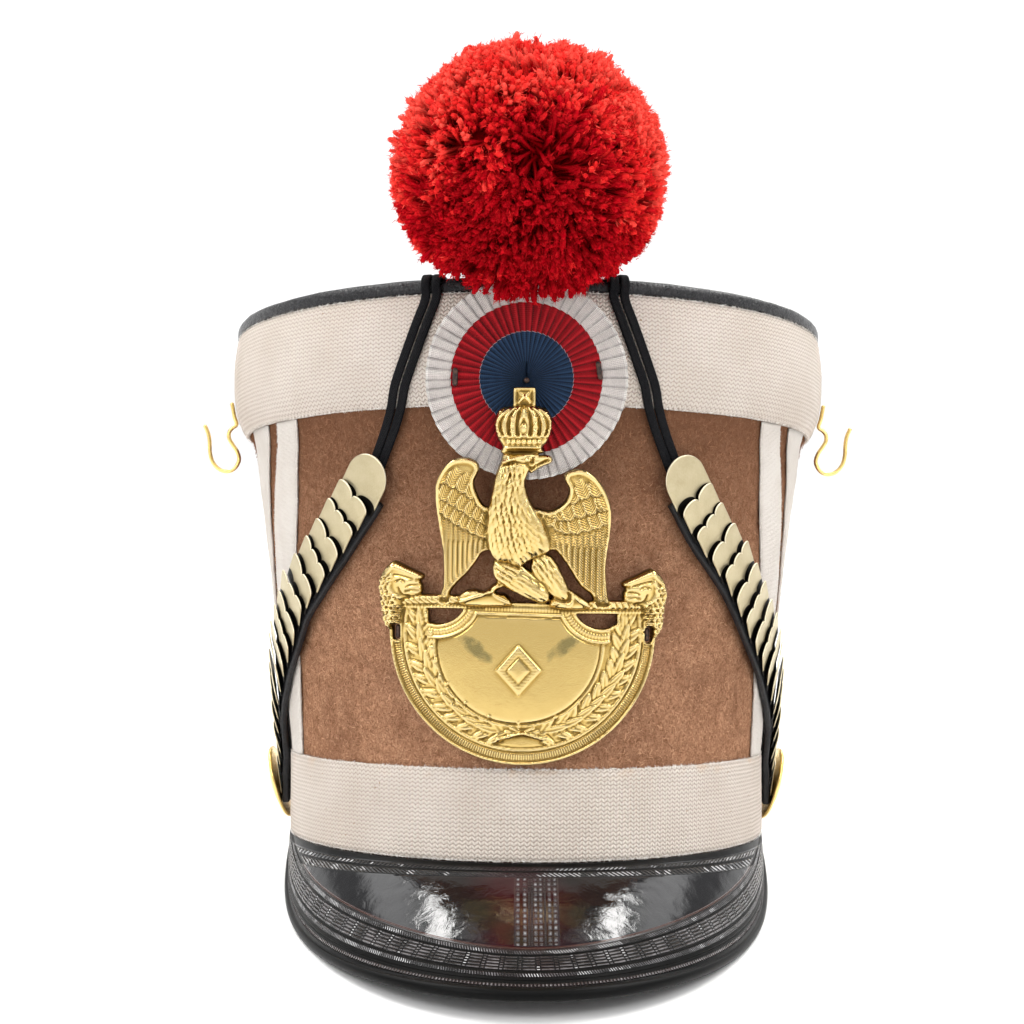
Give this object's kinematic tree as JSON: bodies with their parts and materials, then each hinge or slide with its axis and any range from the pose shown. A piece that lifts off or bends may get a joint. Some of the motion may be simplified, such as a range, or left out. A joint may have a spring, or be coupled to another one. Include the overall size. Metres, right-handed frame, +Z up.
{
  "type": "shako hat",
  "caption": "Tall flared felt military cap with a stiff peak, leather crown, brass plate, chin scales, pleated cockade and wool ball.",
  "frame": {"origin": "bottom centre of the bounding box, on the surface that the hat rests on", "axes": "+Z up, -Y to the front of the hat, +X to the right as seen from the front; the hat leans back 9 degrees, at rest on its peak and the back of its rim"},
  "size_m": [0.251, 0.3084, 0.2996],
  "materials": {
    "felt": "fuzzy brown wool felt",
    "webbing": "woven cream cotton, slightly stained",
    "patent_leather": "glossy black patent",
    "crown_leather": "black, half matt",
    "strap_leather": "black, half matt",
    "lace": "flat black lace",
    "polished_brass": "polished, stamped relief",
    "brushed_brass": "brushed pale brass",
    "dark_wire": "blackened wire",
    "wool": "red wool yarn",
    "ribbon": "pleated ribbon in blue, red and white rings"
  },
  "bodies": {
    "root": {"felt_body": "felt", "crown_top": "crown_leather", "top_band": "webbing", "bottom_band": "webbing", "chevron_left_inner": "webbing", "chevron_left_outer_front": "webbing", "chevron_left_outer_back": "webbing", "chevron_right_inner": "webbing", "chevron_right_outer_front": "webbing", "chevron_right_outer_back": "webbing", "peak": "patent_leather", "cockade": "ribbon", "cockade_staple_left": "dark_wire", "cockade_staple_right": "dark_wire", "eagle_plate": "polished_brass", "pompom": "wool", "pompom_stem": "dark_wire", "tie_lace_outer": "lace", "tie_lace_inner": "lace", "scale_end_left": "brushed_brass", "scale_left_01": "brushed_brass", "scale_left_02": "brushed_brass", "scale_left_03": "brushed_brass", "scale_left_04": "brushed_brass", "scale_left_05": "brushed_brass", "scale_left_06": "brushed_brass", "scale_left_07": "brushed_brass", "scale_left_08": "brushed_brass", "scale_left_09": "brushed_brass", "scale_left_10": "brushed_brass", "scale_left_11": "brushed_brass", "scale_left_12": "brushed_brass", "scale_left_13": "brushed_brass", "scale_left_14": "brushed_brass", "scale_left_15": "brushed_brass", "scale_left_16": "brushed_brass", "scale_end_right": "brushed_brass", "scale_right_01": "brushed_brass", "scale_right_02": "brushed_brass", "scale_right_03": "brushed_brass", "scale_right_04": "brushed_brass", "scale_right_05": "brushed_brass", "scale_right_06": "brushed_brass", "scale_right_07": "brushed_brass", "scale_right_08": "brushed_brass", "scale_right_09": "brushed_brass", "scale_right_10": "brushed_brass", "scale_right_11": "brushed_brass", "scale_right_12": "brushed_brass", "scale_right_13": "brushed_brass", "scale_right_14": "brushed_brass", "scale_right_15": "brushed_brass", "scale_right_16": "brushed_brass", "chin_strap_left": "strap_leather", "boss_left": "polished_brass", "hook_left": "polished_brass", "chin_strap_right": "strap_leather", "boss_right": "polished_brass", "hook_right": "polished_brass"}
  },
  "joints": []
}
